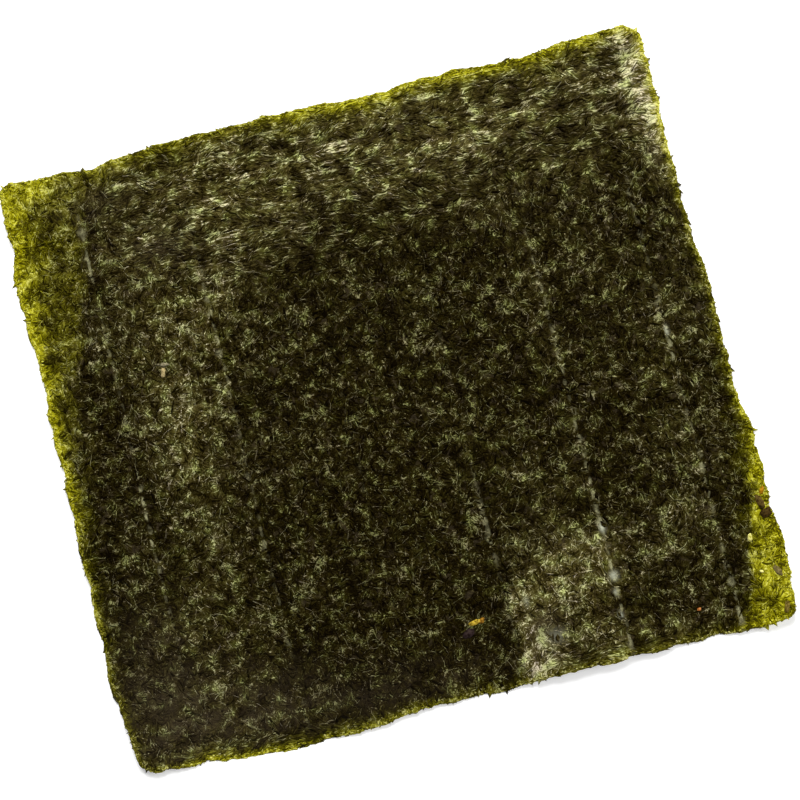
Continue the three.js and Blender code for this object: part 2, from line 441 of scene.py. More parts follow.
# Where the wall closes, its last corners lie at the strip's end instead of at its start.
wraps = (wall_faces % count == 0) & ((wall_faces % count).max(1) > 1)[:, None]
station[corner_kind == 2] += wraps.ravel()
maps[corner_kind == 2] = np.stack([
    station[corner_kind == 2],
    np.where(corners[corner_kind == 2] < count, WALL_MAP[1], WALL_MAP[0]),
], 1)
leaf_mesh.uv_layers.new(name=BAKE_MAP).data.foreach_set("uv", maps.ravel())


def spots(xy, places, power=1):
    """The sum of soft oval patches: x, y, reach along X and along Y in millimetres, and strength."""
    total = 0
    for x, y, reach_x, reach_y, strength in places:
        across, along = (xy[:, 0] / MM - x) / reach_x, (xy[:, 1] / MM - y) / reach_y
        total = total + strength * np.exp(-across * across - along * along) ** power
    return total


# Painted light shining through the thin rim, in yellow-green: how far in from the rim it reaches, in
# millimetres, by place along Y at the left and right sides, and at the lower and upper side.
BACKLIGHT_LEFT = [(-90, 1.0), (-20, 1.0), (0, 1.6), (36, 2.6), (72, 4.6), (96, 4.8)]
BACKLIGHT_RIGHT = [(-92, 2.6), (-60, 2.1), (-38, 1.5), (-20, 0.8), (50, 0.8), (96, 1.2)]
BACKLIGHT_BELOW = 1.0
BACKLIGHT_ABOVE = 1.7
# How strongly the rim shows it, by the same places and along X at the lower and upper side.
RIM_LEFT = [(-92, 0.27), (-58, 0.27), (-52, 0.44), (-20, 0.46), (-8, 1.05), (20, 1.25), (96, 1.35)]
RIM_RIGHT = [
    (-96, 1.4), (-54, 1.4), (-30, 1.2), (-22, 0.46), (16, 0.38), (48, 0.38), (58, 0.6), (96, 0.7),
]
RIM_BELOW = [(-104, 0.75), (-60, 0.7), (-46, 0.42), (-10, 0.36), (2, 0.2), (104, 0.24)]
RIM_ABOVE = [(-104, 0.55), (-66, 0.5), (-22, 0.5), (-10, 0.95), (30, 1), (50, 1.15), (104, 1.15)]
# Two wedges painted yellow-green all through, as light shining through: the X of their inner border by
# Y, and the share of it that they get.
LEFT_WEDGE = [(-20, -107), (9, -100.5), (24.5, -96.5), (46, -91), (71, -84), (97, -77)]
RIGHT_WEDGE = [
    (-95, 90.4), (-83.5, 94.1), (-74.5, 95.8), (-57, 101), (-44.5, 103.2), (-38.5, 105.7), (-28, 111),
]
LEFT_WEDGE_SHARE = 0.13
RIGHT_WEDGE_SHARE = 0.5


def backlight_at(xy, gap):
    """How much painted light shines through the leaf in yellow-green: at the rims and in two wedges."""
    x, y = xy.T
    gap = gap / MM
    wander = 2.4 * felt(xy, 9, 9, 50) + 1.6 * felt(xy, 3, 3, 51)
    patchy = 1 + 0.45 * felt(xy, 5, 4, 52) + 0.4 * felt(xy, 1.7, 1.5, 53)
    at_left, at_right = rise(-84, -97, x / MM), rise(84, 97, x / MM)
    reach = np.where(y > 0, BACKLIGHT_ABOVE, BACKLIGHT_BELOW) * (1 - at_left) * (1 - at_right)
    reach += at_left * by(BACKLIGHT_LEFT, y) + at_right * by(BACKLIGHT_RIGHT, y)
    strength = np.where(y > 0, by(RIM_ABOVE, x), by(RIM_BELOW, x))
    strength *= (1 - at_left) * (1 - at_right)
    strength += at_left * by(RIM_LEFT, y) + at_right * by(RIM_RIGHT, y)
    rim = strength * np.exp(-np.maximum(gap - 0.55, 0) / (reach * patchy))
    left = LEFT_WEDGE_SHARE * rise(2.5, -4, x / MM + wander - by(LEFT_WEDGE, y))
    right = RIGHT_WEDGE_SHARE * rise(-0.7, 1.4, x / MM + 0.4 * wander - by(RIGHT_WEDGE, y))
    return np.clip(np.maximum(rim, (left + right) * patchy), 0, 1)


# Painted sheen and painted shade: soft oval patches where the laver is painted as catching more light,
# and where less.
SHEEN_PLACES = [
    (-60.5, 73, 42, 42, 0.5),
    (-38, 87, 14, 8, 0.55),
    (-24, 20, 14, 16, -0.3),
    (-84, 4, 8, 16, -0.3),
    (-50, -8, 9, 12, -0.25),
    (52, -52, 8, 8, -0.35),
    (-55, 86, 12, 8, 0.25),
    (-64.5, 13, 15, 26, 0.62),
    (-69, 8, 9, 14, 0.35),
    (-50.5, 43, 20, 22, 0.3),
    (-66, -30, 22, 32, 0.32),
    (-74, -64, 18, 24, 0.28),
    (29.5, 85, 62, 15, 0.72),
    (20, 67, 18, 12, 0.45),
    (-20.5, 77, 40, 12, 0.3),
    (78, 68, 26, 20, 0.35),
    (102, 77, 7, 28, 1.3),
    (48.5, -68, 9, 17, 0.9),
    (39.5, -54, 20, 12, 0.3),
    (60, -67, 16, 10, 0.25),
    (-66.5, -87, 26, 14, 0.3),
    (-88.5, -89, 18, 10, 0.3),
    (66, -91, 30, 7, 0.4),
    (84, -52, 12, 28, 0.35),
    (83, -8, 9, 12, 0.4),
    (84, 22, 8, 8, 0.25),
    (99.5, 3, 8, 16, 0.5),
    (24, -24, 11, 10, 0.3),
    (40, -38, 12, 9, 0.2),
    (15.5, 31, 5, 20, 0.25),
    (51.5, 11, 6, 50, 0.22),
]
# The shiniest place, a patch of painted sheen, has a sharp left side: its X by Y, its patches, and how
# bare of shreds it is.
SHINY_SIDE = [(-95, 20.8), (-80, 21.6), (-66, 22.4), (-60, 25)]
SHINY_PLACES = [(26, -79, 11, 14, 1.6), (36, -66, 9, 9, 0.4)]
SHINY_BARE = 0.55


def shiny_at(xy):
    """How strong the painted sheen of the shiniest place is."""
    sharp = xy[:, 0] / MM - by(SHINY_SIDE, xy[:, 1]) + 0.7 * felt(xy, 2, 2, 62)
    return rise(-0.4, 0.4, sharp) * spots(xy, SHINY_PLACES)


def sheen_at(xy):
    """How much painted sheen the shreds get: in wandering patches, and in streaks where they are
    combed.
    """
    shine = spots(xy, SHEEN_PLACES)
    wander = 0.3 * felt(xy, 7, 6, 60) + 0.22 * felt(xy, 3, 2.5, 61)
    streaks = 0.5 * felt(xy, 14, 2.2, 67) + 0.35 * felt(xy, 7, 1.3, 68)
    shine *= 1 + 1.6 * wander + combed_at(xy) * streaks
    return np.clip(shine + shiny_at(xy) * (1 + 0.5 * wander) + 0.25 * wander, 0, 1.3)


# Where the laver gets its palest painted sheen, where the pressed lines are bare and pale with painted
# sheen, and where a thin brown film dulls the felt.
PALE_SHEEN_PLACES = [
    (99.5, 80, 7.0, 25, 0.36),
    (103.5, 66, 4, 14, 0.2),
    (24.0, -80, 4, 14, 0.3),
    (26.5, -89, 6.5, 6, 0.3),
    (37.0, -66, 8, 8, 0.1),
    (-67, 12, 8, 14, 0.1),
]
BARE_PLACES = [
    (54.8, -54.2, 1.0, 1.7, 1.1),
    (54.7, -69.3, 1.6, 1.7, 0.9),
    (53.9, -74.4, 0.8, 1.2, 0.7),
    (53.9, -81.6, 0.8, 1.4, 0.7),
    (89.2, 0.5, 0.8, 2.0, 0.7),
    (26.5, -70.5, 0.9, 2.2, 0.4),
    (33.0, -83.0, 4.0, 3.0, 0.25),
]
FILM_PLACES = [
    (-72, -84, 34, 13, 0.32),
    (-92, -70, 14, 22, 0.3),
    (-20, -88, 30, 8, 0.2),
    (29, -82, 3.5, 6.0, 0.5),
    (33, -76, 4.0, 2.5, 0.35),
    (99.8, 56.7, 3.5, 5, 0.4),
    (-60, 66, 10, 8, 0.2),
    (-78, 84, 12, 5, 0.25),
]


def pale_sheen_at(xy):
    """How much paler the shreds are painted, as sheen."""
    return spots(xy, PALE_SHEEN_PLACES) * (1 + 0.5 * felt(xy, 4, 4, 64) + 0.4 * felt(xy, 1.6, 1.8, 65))


def store(mesh, name, values):
    mesh.attributes.new(name, "FLOAT", "POINT").data.foreach_set("value", np.ravel(values))


all_xy = vertices[:, :2]
all_gap = np.concatenate([rim_gap, from_rim(under_xy)])
all_deep, all_strength = dashes_at(all_xy)
is_upper = np.arange(len(vertices)) < count
beside, shade = beside_lines(all_xy)
bare = np.clip(spots(all_xy, BARE_PLACES, 2), 0, 1)
film = spots(all_xy, FILM_PLACES) * (1 + 0.7 * felt(all_xy, 4, 3, 66))
covered = 0.9 * rise(0.05, 0.6, beside) + rise(0.1, 0.5, bare) + SHINY_BARE * shiny_at(all_xy)
open_place = 1 - np.clip(covered, 0, 1)
store(leaf_mesh, "combed", combed_at(all_xy))
# Painted light shining through the leaf: yellow-green at the thin rim and in two wedges.
store(leaf_mesh, "backlit", backlight_at(all_xy, all_gap))
for name, values in {
    # The painted sheen: the colour turns paler where light would be caught.
    "smooth": sheen_at(all_xy),
    "pressed": all_deep * all_strength,
    "bare": bare,
    "film": np.clip(film, 0, 0.8),
    # Painted sheen, less the painted shade on the right of the pressed lines.
    "pale": pale_sheen_at(all_xy) - 0.3 * shade,
    "cover": open_place * rise(0.1 * MM, 0.8 * MM, all_gap),
    "inner": open_place * rise(1.8 * MM, 3.6 * MM, all_gap),
    "fringe": rise(1.5 * MM, 0.9 * MM, all_gap),
}.items():
    store(leaf_mesh, name, values * is_upper)


def sum_node(operation, turned=False):
    """What a sign between two outputs does: it adds a Math node."""
    def made(wire, *others):
        return calc(wire.tree, operation, *((*others, wire) if turned else (wire, *others)))

    return made


class Wire:
    """An output of a node. A sum that is written with it becomes Math nodes in its tree."""
    def __init__(self, tree, socket):
        self.tree, self.socket = tree, socket

    def __mul__(self, other):
        return Product(self.tree, self, other)

    __rmul__ = __mul__
    __add__ = __radd__ = sum_node("ADD")
    __sub__, __rsub__ = sum_node("SUBTRACT"), sum_node("SUBTRACT", True)
    __truediv__, __rtruediv__ = sum_node("DIVIDE"), sum_node("DIVIDE", True)
    __pow__, __abs__ = sum_node("POWER"), sum_node("ABSOLUTE")


class Product(Wire):
    """A product of two outputs. With what is added to it, it is one node, so that it renders faster."""
    def __init__(self, tree, *factors):
        self.tree, self.factors = tree, factors

    @cached_property
    def socket(self):
        return calc(self.tree, "MULTIPLY", *self.factors).socket

    def __add__(self, other):
        return calc(self.tree, "MULTIPLY_ADD", *self.factors, other)

    __radd__ = __add__


class Made:
    """A node in its tree, with its outputs by name or number."""
    def __init__(self, tree, node):
        self.tree, self.node = tree, node

    def __getitem__(self, key):
        return Wire(self.tree, self.node.outputs[key])


def feed(node, inputs):
    """Gives a node's inputs, by name or number, their values or the outputs that they follow."""
    for key, value in inputs.items():
        if isinstance(value, Wire):
            value.tree.links.new(value.socket, node.inputs[key])
        else:
            node.inputs[key].default_value = value


def add(tree, kind, inputs, **settings):
    """A node with its settings and inputs."""
    node = tree.nodes.new(kind)
    for name, value in settings.items():
        setattr(node, name, value)
    feed(node, inputs)
    return Made(tree, node)


def calc(tree, operation, *values, clamp=False):
    """The result of one Math node."""
    inputs = dict(enumerate(values))
    return add(tree, "ShaderNodeMath", inputs, operation=operation, use_clamp=clamp)[0]


def vector(tree, operation, *values, **named):
    """The result of one Vector Math node."""
    inputs = {**dict(enumerate(values)), **named}
    return add(tree, "ShaderNodeVectorMath", inputs, operation=operation)[0]


def xyz(tree, *values):
    return add(tree, "ShaderNodeCombineXYZ", dict(enumerate(values)))[0]


def ranged(tree, value, low, high, out_low=0.0, out_high=1.0, kind="LINEAR"):
    """A value from low to high, brought to another range and kept in it."""
    inputs = {0: value, 1: low, 2: high, 3: out_low, 4: out_high}
    return add(tree, "ShaderNodeMapRange", inputs, interpolation_type=kind)[0]


def mixed(share, first, second):
    """Two values mixed, with the share of the second."""
    return add(share.tree, "ShaderNodeMix", {0: share, 2: first, 3: second}, data_type="FLOAT")[0]


def blend(tree, share, first, second, kind="MIX"):
    """Two colours mixed, with the share of the second."""
    inputs = {0: share, 6: first, 7: second}
    return add(tree, "ShaderNodeMix", inputs, data_type="RGBA", blend_type=kind)[2]


def noise(place, size, detail, distortion=0.0, roughness=0.5, shift=None, dimensions="2D"):
    """Noise from 0 to 1, with knots of a size apart."""
    tree = place.tree
    if shift is not None:
        place = vector(tree, "ADD", place, (shift, shift, 0))
    inputs = {
        "Vector": place,
        "Scale": 1 / size,
        "Detail": detail,
        "Roughness": roughness,
        "Distortion": distortion,
    }
    return add(tree, "ShaderNodeTexNoise", inputs, noise_dimensions=dimensions)[0]


def bump(height, distance, strength):
    inputs = {"Height": height, "Distance": distance, "Strength": strength}
    return add(height.tree, "ShaderNodeBump", inputs)[0]


def on_piece(tree):
    """The place on the piece."""
    return add(tree, "ShaderNodeTexCoord", {})["Object"]


def attribute(tree, name, output="Fac"):
    return add(tree, "ShaderNodeAttribute", {}, attribute_name=name)[output]


def group_tree(name, inputs, outputs, kind="ShaderNodeTree"):
    """A node group with named inputs, each with its kind and value, and named outputs."""
    tree = bpy.data.node_groups.new(name, kind)
    for title, (socket, value) in inputs.items():
        made = tree.interface.new_socket(title, in_out="INPUT", socket_type="NodeSocket" + socket)
        if value is not None:
            made.default_value = value
    for title, socket in outputs.items():
        tree.interface.new_socket(title, in_out="OUTPUT", socket_type="NodeSocket" + socket)
    return tree, add(tree, "NodeGroupInput", {})


def use(group, tree, **inputs):
    """A group placed in a tree, with its inputs by name. An underscore stands for a space."""
    inputs = {name.replace("_", " "): value for name, value in inputs.items()}
    return add(tree, "ShaderNodeGroup", inputs, node_tree=group)


# The patches that are paler or darker all through: their sizes in millimetres and shares.
PATCHES = [(4.5, 0.7), (17.0, 0.3)]
PATCH_STRENGTH = 1.55


def make_patch_group():
    """Patches of a few millimetres that are paler or darker all through, from 0 to 1."""
    tree, given = group_tree("patches", {"Place": ("Vector", None)}, {"Patch": "Float"})
    small, large = (noise(given["Place"], size * MM, 1.5) * share for size, share in PATCHES)
    add(tree, "NodeGroupOutput", {"Patch": small + large})
    return tree


# The folds that run along a shred: their gap and length in millimetres, and share of its tone.
FOLD_GAP = 0.42
FOLD_LENGTH = 2.8
FOLD_SHARE = 0.56
# How far combing straightens a shred, and the widest turn of one that isn't combed.
COMBING = 0.89
OWN_TURN = 2.6


def make_layer_group():
    """One layer of curved shreds, each in the cell of a random point: its mask, tone and crown."""
    tree, given = group_tree(
        "one layer of shreds",
        {
            "Place": ("Vector", None),
            "Spacing": ("Float", 0.0024),
            "Length": ("Float", 0.0032),
            "Width": ("Float", 0.00045),
            "Combed": ("Float", 0.0),
            "Bundle turn": ("Float", 0.0),
            "Seed": ("Float", 0.0),
        },
        {"Mask": "Float", "Tone": "Float", "Crown": "Float"},
    )
    shift = xyz(tree, given["Seed"], given["Seed"])
    cells = vector(tree, "MULTIPLY_ADD", given["Place"], 1.0 / given["Spacing"], shift)
    cell = {"Vector": cells, "Scale": 1.0}
    nearest = add(tree, "ShaderNodeTexVoronoi", cell, voronoi_dimensions="2D")
    luck = add(tree, "ShaderNodeSeparateColor", {0: nearest["Color"]})
    flat = vector(tree, "MULTIPLY", vector(tree, "SUBTRACT", cells, nearest["Position"]), (1, 1, 0))
    metres = vector(tree, "SCALE", flat, Scale=given["Spacing"])
    turn = ((luck[0] - 0.5) * OWN_TURN + given["Bundle turn"]) * (1.0 - given["Combed"] * COMBING)
    turned = {"Vector": metres, "Angle": turn}
    turned = add(tree, "ShaderNodeVectorRotate", turned, rotation_type="Z_AXIS")
    own = add(tree, "ShaderNodeSeparateXYZ", {0: turned[0]})

    half_length = given["Length"] * (luck[1] * 0.4 + 0.3)
    half_width = given["Width"] * (luck[2] * 0.4 + 0.3)
    far = own[0] / half_length
    bend = (luck[1] - 0.5) * (half_length * 0.9)
    bent = far * far * bend + own[1]
    wide = bent / half_width
    reach_sum = wide * wide + abs(far) ** 3.0
    mask = ranged(tree, reach_sum, 1.0, 0.55, kind="SMOOTHSTEP")
    crown = calc(tree, "MAXIMUM", 1.0 - reach_sum, 0.0)

    lengthwise = own[0] * (1 / (FOLD_LENGTH * MM))
    crosswise = bent * (1 / (FOLD_GAP * MM)) + luck[2] * 91.0
    fold = ranged(tree, noise(xyz(tree, lengthwise, crosswise), 1, 1.0, 0.35), 0.4, 0.72)
    own_tone = luck[2] * (1 - FOLD_SHARE)
    results = {"Mask": mask, "Tone": fold * FOLD_SHARE + own_tone, "Crown": fold * 0.6 + crown * 0.6}
    add(tree, "NodeGroupOutput", results)
    return tree


# The wrinkles of the dried shreds, bumps whose paler lines are painted glints along their ridges: the
# size of the bends in millimetres, how wide, a shift, how much paler, and whether they are stretched
# along X.
WRINKLES = [
    (1.6, 0.050, 21.0, 0.42, False),
    (2.4, 0.042, 25.0, 0.46, False),
    (3.8, 0.032, 29.0, 0.46, False),
    (1.5, 0.055, 33.0, 0.50, True),
    (2.6, 0.045, 37.0, 0.62, True),
]
STRETCH = 0.17


def make_wrinkle_group():
    """Narrow crooked lines, here strong and there faint, painted paler as glints. The stretched ones
    show where combed.
    """
    inputs = {"Place": ("Vector", None), "Combed": ("Float", 0.0)}
    tree, given = group_tree("wrinkles", inputs, {"Line": "Float"})
    crossed = given["Combed"] * -0.7 + 1.0
    total = 0.0
    for size_mm, width, shift, paler, stretched in WRINKLES:
        place = given["Place"]
        if stretched:
            place = vector(tree, "MULTIPLY", place, (STRETCH, 1, 1))
        bends = noise(place, size_mm * MM, 1.6, 0.7, 0.6, shift)
        line = ranged(tree, abs(bends - 0.5), width, 0.0, kind="SMOOTHSTEP")
        strong = ranged(tree, noise(place, 1.4 * size_mm * MM, 2.0, 0.0, 0.6, shift + 1), 0.46, 0.66)
        total = line * (strong * paler) * (given["Combed"] if stretched else crossed) + total
    add(tree, "NodeGroupOutput", {"Line": total})
    return tree


# The layers of shreds that the felt shows: spacing, length, width in millimetres, and seed.
SHRED_LAYERS = [
    (3.8, 5.6, 2.0, 11.3),
    (3.2, 4.8, 1.7, 23.7),
    (2.7, 4.2, 1.4, 37.1),
    (2.3, 3.6, 1.15, 41.9),
    (1.9, 3.0, 0.9, 53.2),
    (1.6, 2.6, 0.7, 67.8),
]
LAYER_TONE = 0.9
# The bundles in which shreds lie turned alike: their size in millimetres, and the widest turn.
BUNDLE_SIZE = 7
BUNDLE_TURN = 16.0

patch_group = make_patch_group()
wrinkle_group = make_wrinkle_group()


def make_felt_group():
    """The felt of shreds: the tone of the topmost shred from 0 to 1, its height, and smooth films."""
    layer_group = make_layer_group()
    tree, given = group_tree(
        "felted shreds",
        {"Place": ("Vector", None), "Combed": ("Float", 0.0)},
        {"Tone": "Float", "Height": "Float", "Film": "Float", "Patch": "Float"},
    )
    place, combed = given["Place"], given["Combed"]
    bundle = (noise(place, BUNDLE_SIZE * MM, 1.0, shift=3.0) - 0.5) * BUNDLE_TURN
    ground = noise(place, 0.8 * MM, 2.0, 0.6, shift=7.0)
    tone = ranged(tree, ground, 0.3, 0.7, 0.0, 0.5)
    height = ground * 0.5
    for number, (spacing, length, width, seed) in enumerate(SHRED_LAYERS):
        layer = use(
            layer_group, tree, Place=place, Combed=combed, Bundle_turn=bundle, Seed=seed,
            Spacing=spacing * MM, Length=length * MM, Width=width * MM,
        )
        tone = mixed(layer["Mask"], tone, layer["Tone"] * LAYER_TONE)
        height = mixed(layer["Mask"], height, layer["Crown"] * 0.5 + (0.35 + 0.12 * number))
    film = ranged(tree, noise(place, 2.6 * MM, 2.5, 0.8, shift=17.0), 0.60, 0.68)
    patch = use(patch_group, tree, Place=place)[0]
    add(tree, "NodeGroupOutput", {"Tone": tone, "Height": height, "Film": film, "Patch": patch})
    return tree


def linear(red, green, blue):
    """A colour as seen, from 0 to 255, in the numbers that a shader takes."""
    def one(value):
        value /= 255
        return value / 12.92 if value <= 0.04045 else ((value + 0.055) / 1.055) ** 2.4

    return one(red), one(green), one(blue), 1.0


def ladder(value, steps, colour_of=linear):
    """A colour ramp from steps of a place and the numbers of its colour."""
    made = add(value.tree, "ShaderNodeValToRGB", {0: value})
    elements = made.node.color_ramp.elements
    while len(elements) < len(steps):
        elements.new(0.5)
    for element, (at, *colour) in zip(elements, steps):
        element.position = at
        element.color = colour_of(*colour)
    return made[0]


# The tones of the dried laver, dark to pale, whose palest steps are near-white painted glints: dull,
# with painted sheen, and with painted light shining through the thin rim. The hues that they are
# multiplied by, from warm to green.
DULL_TONES = [
    (0.0, 5, 2, 0), (0.25, 12, 8, 0), (0.5, 24, 19, 2), (0.75, 43, 39, 15), (0.9, 75, 72, 50),
    (1.0, 130, 128, 114),
]
SHEEN_TONES = [
    (0.0, 15, 11, 0), (0.25, 39, 35, 9), (0.5, 66, 62, 31), (0.75, 97, 94, 66), (0.9, 136, 133, 113),
    (1.0, 208, 206, 197),
]
BACKLIT_TONES = [
    (0.0, 58, 50, 1), (0.25, 102, 96, 2), (0.5, 152, 147, 10), (0.75, 192, 188, 50),
    (1.0, 234, 231, 142),
]
HUES = [
    (0.25, 255, 240, 226), (0.4, 255, 244, 216), (0.52, 254, 248, 206), (0.64, 249, 250, 196),
    (0.78, 241, 250, 172),
]
HUE_SIZE = 4.5
FILM_COLOUR = (56, 48, 36)
# The pale grey of the pressed dashes and of their bare marks is painted sheen on the pressed film.
PRESSED_SHEEN_COLOUR = (152, 149, 112)
BARE_SHEEN_COLOUR = (168, 170, 148)


def make_colour_group():
    """The colour of laver of a tone from 0 to 1, by how much painted sheen and painted light shining
    through it gets, and how worn it is.
    """
    names = "Tone", "Hue", "Smooth", "Film", "Thin", "Pressed", "Bare"
    inputs = {name: ("Float", 0.0) for name in names}
    tree, given = group_tree("laver colour", inputs, {"Color": "Color"})
    tone = given["Tone"]
    # Painted sheen: paler tones that stand in for light caught on the laver.
    colour = blend(tree, given["Smooth"], ladder(tone, DULL_TONES), ladder(tone, SHEEN_TONES))
    colour = blend(tree, 1.0, colour, ladder(given["Hue"], HUES), "MULTIPLY")
    colour = blend(tree, given["Film"], colour, linear(*FILM_COLOUR))
    # Painted light shining through: yellow-green tones where the leaf is backlit.
    backlit = calc(tree, "MULTIPLY", given["Thin"], tone * 1.1 + 0.6, clamp=True)
    colour = blend(tree, backlit, colour, ladder(tone * 0.7 + 0.15, BACKLIT_TONES))
    # Painted sheen on the pressed dashes and bare marks.
    pressed = calc(tree, "MULTIPLY", given["Pressed"], tone * 0.8 + 0.4, clamp=True)
    colour = blend(tree, pressed, colour, linear(*PRESSED_SHEEN_COLOUR))
    colour = blend(tree, given["Bare"], colour, linear(*BARE_SHEEN_COLOUR))
    add(tree, "NodeGroupOutput", {"Color": colour})
    return tree


felt_group = make_felt_group()
colour_group = make_colour_group()


def wrinkled(tree):
    """How strong the wrinkles are at a place."""
    return use(wrinkle_group, tree, Place=on_piece(tree), Combed=attribute(tree, "combed"))[0]


def coloured(tree, tone, film, pressed=0.0, bare=0.0):
    """The colour group, fed from the piece's own attributes."""
    return use(
        colour_group, tree, Film=film, Pressed=pressed, Bare=bare,
        # The pale attribute: painted sheen, and painted shade beside the pressed lines.
        Tone=calc(tree, "ADD", tone, attribute(tree, "pale"), clamp=True),
        Hue=noise(on_piece(tree), HUE_SIZE * MM, 1.0),
        Smooth=attribute(tree, "smooth"),
        Thin=attribute(tree, "backlit"),
    )[0]


SPECULAR = 0.05
SPECULAR_TINT = (1.0, 0.82, 0.3, 1.0)
ROUGHNESS = 0.3


def new_material(name):
    """A material with the faint warm gloss of dried laver, and its tree and shader."""
    made = bpy.data.materials.new(name)
    made.use_nodes = True
    shader = made.node_tree.nodes["Principled BSDF"]
    feed(shader, {"Specular IOR Level": SPECULAR, "Specular Tint": SPECULAR_TINT})
    return made, made.node_tree, shader


leaf_material, tree, shader = new_material("felted laver")
felted = use(felt_group, tree, Place=on_piece(tree), Combed=attribute(tree, "combed"))
wrinkles = wrinkled(tree)
tone = felted["Tone"] + wrinkles + (felted["Patch"] - 0.5) * PATCH_STRENGTH
film = calc(tree, "MAXIMUM", felted["Film"] * 0.4, attribute(tree, "film"))
feed(shader, {
    "Base Color": coloured(tree, tone, film, attribute(tree, "pressed"), attribute(tree, "bare")),
    "Roughness": felted["Tone"] * -0.06 + ROUGHNESS,
    "Normal": bump(wrinkles * 0.9 + felted["Height"], 0.22 * MM, 0.8),
})

leaf_mesh.materials.append(leaf_material)
leaf = placed("leaf", leaf_mesh)
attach(leaf, "root")
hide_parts("nori_sheet")

# The shreds: the cut pieces of laver that lie on top of the felt, dried where they fell. Each is a thin
# bent strip with a low crown, pointed at both ends and half sunk in its neighbours.

# Kind: how many, length and width in millimetres (from, to), thickness, tilt in degrees, tone
# (from, to), seed, and whether it is a narrow thread.
SHRED_KINDS = {
    "broad_shreds": (8500, (2.4, 5.0), (0.8, 1.5), 0.06, 6, (0.08, 0.46), 3, False),
    "olive_shreds": (9000, (1.8, 4.2), (0.4, 0.8), 0.07, 9, (0.08, 0.56), 5, False),
    "fine_shreds": (3600, (2.4, 5.5), (0.13, 0.24), 0.08, 14, (0.3, 0.85), 7, True),
    # The pale threads are real shreds, but their whitish tone is a painted highlight, standing in for
    # glints along the edges of shreds.
    "pale_shreds": (2500, (2.0, 5.0), (0.11, 0.2), 0.08, 12, (0.65, 1.05), 9, True),
}
# Both kinds of shape: how many rings of corners, and how far they bend and wiggle.
THREAD_SHAPE = (5, 2.6, 0.9)
SHRED_SHAPE = (2, 0.55, 0.1)
SHAPES_OF_A_KIND = 12
SHRED_SPREAD_DEGREES = 95


def strip_shape(rng, rings, bend, wiggle):
    """One shred of unit length, width and thickness, with its middle at the origin, and its map."""
    bend, wiggle, twist = (reach * rng.uniform(-1, 1) for reach in (bend, wiggle, 0.6))
    lean = rng.uniform(-0.3, 0.3)

    def sway(x):
        return bend * (0.33 - 4 * x * x) + wiggle * math.sin(2 * math.pi * x)

    points = [(-0.5, sway(-0.5), 0.0)]
    for x in np.linspace(-0.5, 0.5, rings + 2)[1:-1]:
        width = rng.uniform(0.4, 0.55)
        roll = 2 * x * twist
        points += [(x, sway(x) - width, -roll), (x, sway(x) + width, roll), (x, sway(x) + lean, 1.0)]
    points.append((0.5, sway(0.5), 0.0))
    last = len(points) - 1
    triangles, maps = [], []
    for a, b in ((0, 1), (1, 2), (2, 0)):
        triangles += [(0, 1 + b, 1 + a), (last, last - 3 + a, last - 3 + b)]
        maps += [((0, a + 0.5), (1, a + 1), (1, a)), ((rings + 1, a + 0.5), (rings, a), (rings, a + 1))]
        for number in range(1, rings):
            p, q, r, s = (3 * ring - 2 + side for ring in (number, number + 1) for side in (a, b))
            triangles += [(p, q, s), (p, s, r)]
            maps += [((number, a), (number, a + 1), (number + 1, a + 1)),
                     ((number, a), (number + 1, a + 1), (number + 1, a))]
    return points, triangles, np.array(maps) / (rings + 1, 3)


shapes = bpy.data.collections.new("shred shapes")
threads = bpy.data.collections.new("thread shapes")
shape_rng = np.random.default_rng(70)
for number in range(2 * SHAPES_OF_A_KIND):
    home, kind = (shapes, SHRED_SHAPE) if number % 2 else (threads, THREAD_SHAPE)
    shape_mesh = bpy.data.meshes.new("shred shape")
    points, triangles, maps = strip_shape(shape_rng, *kind)
    shape_mesh.from_pydata(points, [], triangles)
    shape_mesh.shade_smooth()
    shape_mesh.uv_layers.new(name=BAKE_MAP).data.foreach_set("uv", maps.ravel())
    own_place = shape_mesh.attributes.new("own_place", "FLOAT_VECTOR", "POINT")
    own_place.data.foreach_set("vector", np.ravel([(x, y, 0.0) for x, y, z in points]))
    shape = bmesh.new()
    shape.from_mesh(shape_mesh)
    bmesh.ops.recalc_face_normals(shape, faces=shape.faces)
    shape.to_mesh(shape_mesh)
    shape.free()
    home.objects.link(bpy.data.objects.new("shred shape", shape_mesh))


def chance(seed, low, high, kind="FLOAT"):
    """A random value for each point."""
    first, output = {"FLOAT": (2, 1), "FLOAT_VECTOR": (0, 0), "INT": (4, 2)}[kind]
    inputs = {first: low, first + 1: high, 8: seed}
    return add(seed.tree, "FunctionNodeRandomValue", inputs, data_type=kind)[output]


